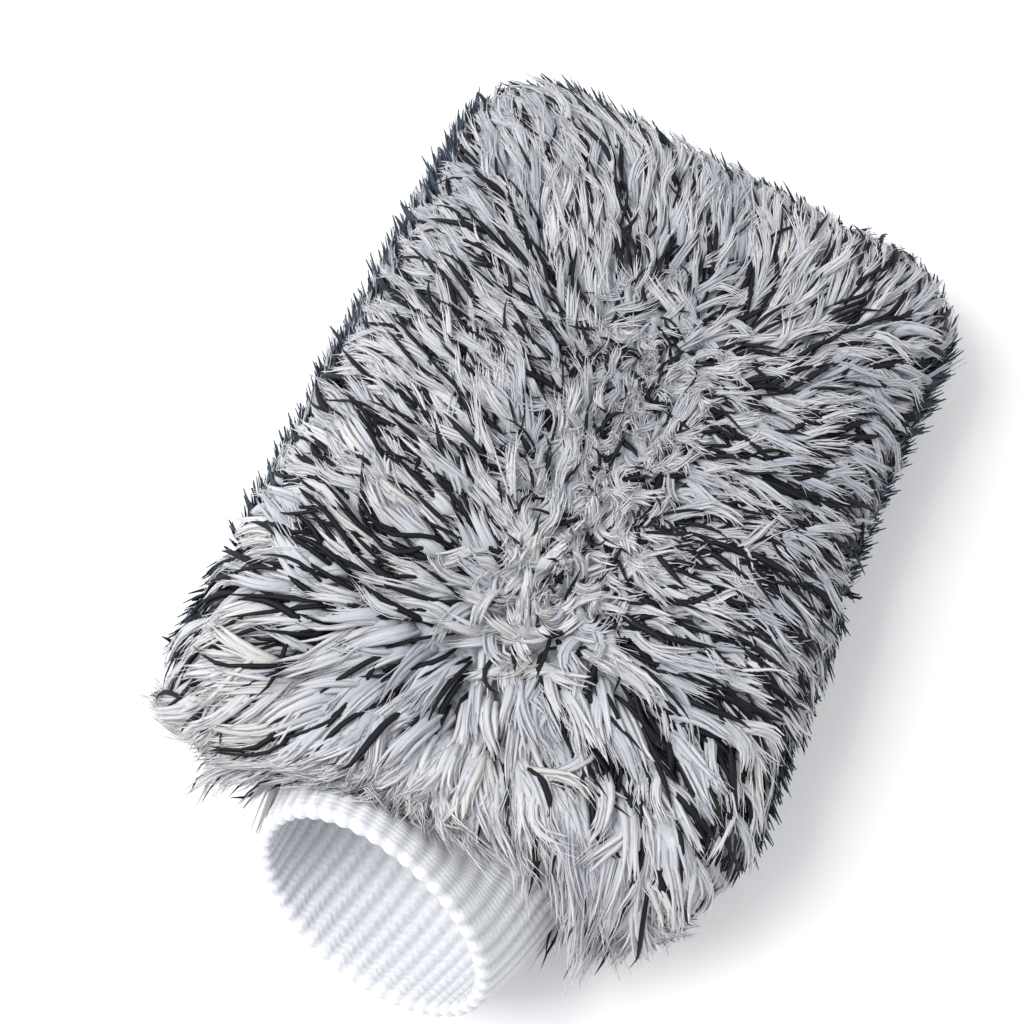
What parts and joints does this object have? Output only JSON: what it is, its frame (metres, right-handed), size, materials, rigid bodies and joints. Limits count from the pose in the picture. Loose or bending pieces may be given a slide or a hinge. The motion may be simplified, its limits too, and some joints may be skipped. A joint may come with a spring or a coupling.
{
  "type": "plush wash mitt",
  "caption": "Rectangular plush microfibre wash mitt worn on one hand, with a lined hand pocket and a folded rib-knit elastic cuff leaning up from the wrist end.",
  "frame": {"origin": "middle of the footprint, on the face the mitt rests on", "axes": "+Y to the fingertips, +Z out of the back of the hand, X across the hand; the cuff is at the -Y end"},
  "size_m": [0.19, 0.2932, 0.0741],
  "materials": {
    "plush_pile": "long split-fibre pile, white locks with charcoal strands",
    "ground_cloth": "knitted backing, dark navy grey",
    "lining": "plain-woven polyester lining, soft sheen",
    "rib_knit": "white rib knit, matt",
    "elastic_yarn": "covered elastic yarn",
    "seam_thread": "spun polyester sewing thread"
  },
  "bodies": {
    "root": {"back_pile": "plush_pile", "palm_pile": "plush_pile", "back_ground_cloth": "ground_cloth", "palm_ground_cloth": "ground_cloth", "back_liner": "lining", "palm_liner": "lining", "rib_cuff": "rib_knit", "cuff_elastic_yarns": "elastic_yarn", "edge_seam_stitches": "seam_thread", "liner_seam_stitches": "seam_thread", "cuff_join_stitches": "seam_thread"}
  },
  "joints": []
}
